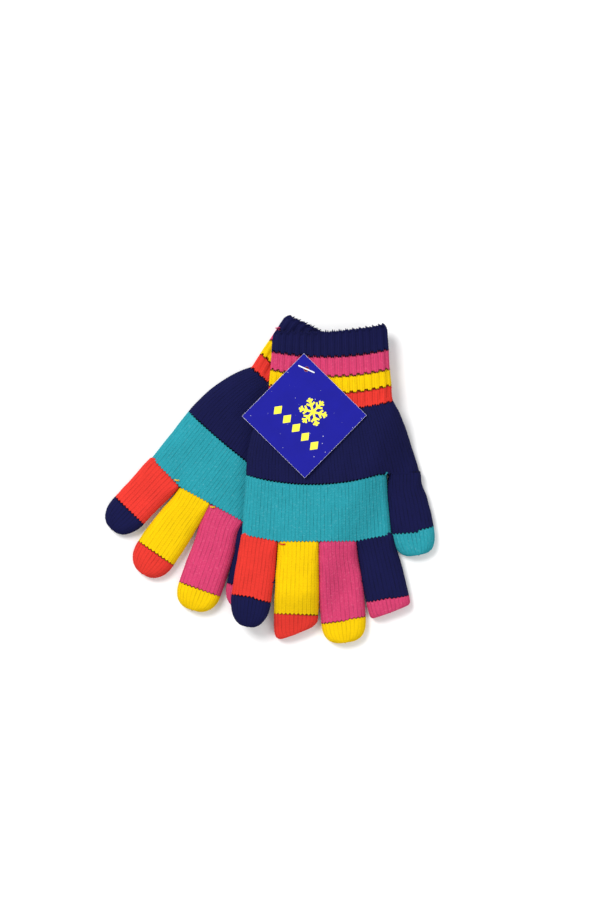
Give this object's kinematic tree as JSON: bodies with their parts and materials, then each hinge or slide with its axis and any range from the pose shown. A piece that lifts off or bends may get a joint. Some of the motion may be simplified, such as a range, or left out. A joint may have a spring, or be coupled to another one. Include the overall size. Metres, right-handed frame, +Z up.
{
  "type": "pair of knitted gloves",
  "caption": "Pair of striped knitted stretch gloves laid flat in a fan, pinned at the cuffs with a square card swing tag.",
  "frame": {"origin": "middle of the pair's footprint, on the surface it lies on", "axes": "+Z up from the surface, through the gloves' thickness; +Y towards the cuffs; fingers towards -Y; the front glove's thumb towards +X"},
  "size_m": [0.188, 0.1874, 0.018],
  "materials": {
    "navy_knit": "soft rib and plain knit",
    "pink_knit": "soft rib and plain knit",
    "yellow_knit": "soft rib and plain knit",
    "red_knit": "soft rib and plain knit",
    "teal_knit": "soft plain knit",
    "elastic_thread": "matt",
    "printed_card": "coated card",
    "nylon": "milky"
  },
  "bodies": {
    "back_glove": {"back_cuff_rim_band": "navy_knit", "back_cuff_second_band": "pink_knit", "back_cuff_third_band": "yellow_knit", "back_cuff_base_band": "red_knit", "back_cuff_elastic": "elastic_thread", "back_palm": "navy_knit", "back_knuckle_band": "teal_knit", "back_index_finger": "navy_knit", "back_index_fingertip": "pink_knit", "back_thumb": "navy_knit", "back_thumb_tip": "teal_knit", "tag_pin": "nylon"},
    "front_glove": {"front_cuff_rim_band": "navy_knit", "front_cuff_second_band": "pink_knit", "front_cuff_third_band": "yellow_knit", "front_cuff_base_band": "red_knit", "front_cuff_elastic": "elastic_thread", "front_palm": "navy_knit", "front_knuckle_band": "teal_knit"},
    "front_little": {"front_little_finger": "red_knit", "front_little_fingertip": "navy_knit"},
    "front_ring": {"front_ring_finger": "yellow_knit", "front_ring_fingertip": "red_knit"},
    "front_middle": {"front_middle_finger": "pink_knit", "front_middle_fingertip": "yellow_knit"},
    "front_index": {"front_index_finger": "navy_knit", "front_index_fingertip": "pink_knit"},
    "back_little": {"back_little_finger": "red_knit", "back_little_fingertip": "navy_knit"},
    "back_ring": {"back_ring_finger": "yellow_knit", "back_ring_fingertip": "red_knit"},
    "back_middle": {"back_middle_finger": "pink_knit", "back_middle_fingertip": "yellow_knit"},
    "front_thumb": {"front_thumb": "navy_knit", "front_thumb_tip": "teal_knit"},
    "swing_tag": {"swing_tag": "printed_card"}
  },
  "joints": [
    {"name": "pair_fan", "type": "hinge", "parent": "back_glove", "child": "front_glove", "pos_m": [0.02054, 0.06142, 0.0123], "axis": [0, 0, 1], "range_deg": [0, 25]},
    {"name": "tag_swivel", "type": "hinge", "parent": "back_glove", "child": "swing_tag", "pos_m": [0.02054, 0.06142, 0.01683], "axis": [0, 0, 1], "range_deg": [-60, 60]},
    {"name": "front_little_flex", "type": "hinge", "parent": "front_glove", "child": "front_little", "pos_m": [-0.00601, -0.03448, 0.0163], "axis": [-0.9822, 0.188, 0], "range_deg": [0, 80]},
    {"name": "front_ring_flex", "type": "hinge", "parent": "front_glove", "child": "front_ring", "pos_m": [0.01604, -0.03648, 0.0163], "axis": [-1, 0, 0], "range_deg": [0, 60]},
    {"name": "front_middle_flex", "type": "hinge", "parent": "front_glove", "child": "front_middle", "pos_m": [0.03839, -0.03648, 0.0163], "axis": [-1, 0, 0], "range_deg": [0, 80]},
    {"name": "front_index_flex", "type": "hinge", "parent": "front_glove", "child": "front_index", "pos_m": [0.05939, -0.03448, 0.01031], "axis": [-0.9815, -0.1915, 0], "range_deg": [0, 60]},
    {"name": "front_thumb_swing", "type": "hinge", "parent": "front_glove", "child": "front_thumb", "pos_m": [0.08604, 0.00162, 0.004], "axis": [0, 0, 1], "range_deg": [0, 35]},
    {"name": "back_little_flex", "type": "hinge", "parent": "back_glove", "child": "back_little", "pos_m": [-0.06001, 0.00282, 0.008], "axis": [-0.6967, 0.7174, 0], "range_deg": [0, 80]},
    {"name": "back_ring_flex", "type": "hinge", "parent": "back_glove", "child": "back_ring", "pos_m": [-0.04283, -0.01052, 0.008], "axis": [-0.8774, 0.4798, 0], "range_deg": [0, 60]},
    {"name": "back_middle_flex", "type": "hinge", "parent": "back_glove", "child": "back_middle", "pos_m": [-0.02496, -0.02027, 0.008], "axis": [-0.8786, 0.4775, 0], "range_deg": [0, 45]}
  ]
}
